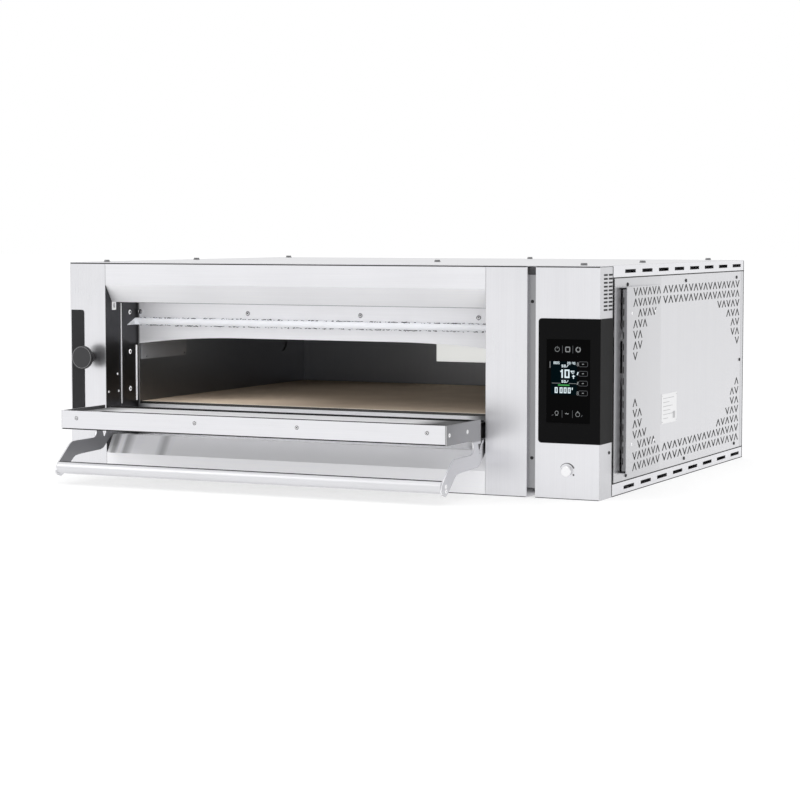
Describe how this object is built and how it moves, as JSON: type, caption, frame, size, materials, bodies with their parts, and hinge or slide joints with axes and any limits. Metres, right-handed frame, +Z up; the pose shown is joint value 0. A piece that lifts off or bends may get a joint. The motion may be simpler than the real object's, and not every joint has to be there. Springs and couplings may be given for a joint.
{
  "type": "deck oven",
  "caption": "Stainless deck oven with an open drop-down door, a stone-floored chamber, a control column on the right, chevron side vents and a steam damper pull knob.",
  "frame": {"origin": "centre of the casing's footprint, on the underside of the base tray", "axes": "+Z up, the door faces -Y, the control column is at +X"},
  "size_m": [1.0796, 1.0285, 0.404],
  "materials": {
    "black_plastic": "satin",
    "bright_steel": "bright zinc",
    "brushed_stainless": "fine brushed",
    "circuit_board": "matt",
    "dark_steel": "heat-darkened",
    "display_glass": "gloss",
    "door_glass": "clear",
    "glass_rope": "woven glass fibre",
    "gloss_black": "semi-gloss",
    "grey_plastic": "matt",
    "grey_steel": "satin",
    "heater_sheath": "oxidised",
    "lamp_glass": "clear",
    "mineral_wool": "fibrous",
    "mirror_stainless": "polished, near mirror",
    "satin_black": "satin",
    "satin_metal": "satin",
    "stone": "matt, fine pores"
  },
  "bodies": {
    "casing": {"baking_stone_left": "stone", "baking_stone_right": "stone", "base_pan": "brushed_stainless", "bottom_fascia": "brushed_stainless", "bottom_heaters": "heater_sheath", "cable_gland": "black_plastic", "casing_fasteners": "bright_steel", "chamber_back": "mirror_stainless", "chamber_shell": "mirror_stainless", "channel_strip": "brushed_stainless", "contactors": "grey_plastic", "control_bezel": "gloss_black", "control_board": "circuit_board", "control_column": "brushed_stainless", "din_rail": "brushed_stainless", "display_glass": "display_glass", "fan_housing": "brushed_stainless", "flue_collar": "brushed_stainless", "hinge_brackets": "dark_steel", "insulation_bottom": "mineral_wool", "insulation_top": "mineral_wool", "insulation_walls": "mineral_wool", "lamp_bulb": "lamp_glass", "lamp_housing": "mirror_stainless", "lamp_lens": "lamp_glass", "left_jamb": "mirror_stainless", "left_post": "brushed_stainless", "left_side_panel": "brushed_stainless", "left_trim": "satin_black", "mouth_frame": "mirror_stainless", "partition_wall": "brushed_stainless", "rear_flanges": "brushed_stainless", "rear_panel": "brushed_stainless", "right_jamb": "mirror_stainless", "right_post": "brushed_stainless", "right_side_panel": "brushed_stainless", "rope_gasket": "glass_rope", "selector_switch": "black_plastic", "sill_plate": "brushed_stainless", "steam_duct": "brushed_stainless", "stone_rails": "dark_steel", "terminal_block": "grey_plastic", "thermocouple": "brushed_stainless", "top_cover": "brushed_stainless", "top_fascia": "brushed_stainless", "top_heaters": "heater_sheath"},
    "door": {"door_arm_left": "brushed_stainless", "door_arm_right": "brushed_stainless", "door_skin": "brushed_stainless", "door_outer_pane": "door_glass", "door_core": "mineral_wool", "door_inner_frame": "grey_steel", "door_inner_pane": "door_glass", "handle_bar": "brushed_stainless", "door_screws": "bright_steel"},
    "damper": {"damper_knob": "black_plastic", "damper_rod": "bright_steel", "damper_plate": "brushed_stainless"},
    "selector": {"selector_knob": "satin_metal"},
    "fan": {"fan_rotor": "black_plastic"}
  },
  "joints": [
    {"name": "door_hinge", "type": "hinge", "parent": "casing", "child": "door", "pos_m": [-0.0667, -0.35575, 0.08775], "axis": [-1, 0, 0], "range_deg": [0, 90]},
    {"name": "damper_slide", "type": "slide", "parent": "casing", "child": "damper", "axis": [0, -1, 0], "range_m": [0, 0.04]},
    {"name": "selector_turn", "type": "hinge", "parent": "casing", "child": "selector", "pos_m": [0.474, -0.415, 0.0486], "axis": [0, 1, 0], "range_deg": [0, 270]},
    {"name": "fan_spin", "type": "hinge", "parent": "casing", "child": "fan", "pos_m": [0.452, 0.395, 0.2], "axis": [0, 1, 0], "continuous": true}
  ]
}
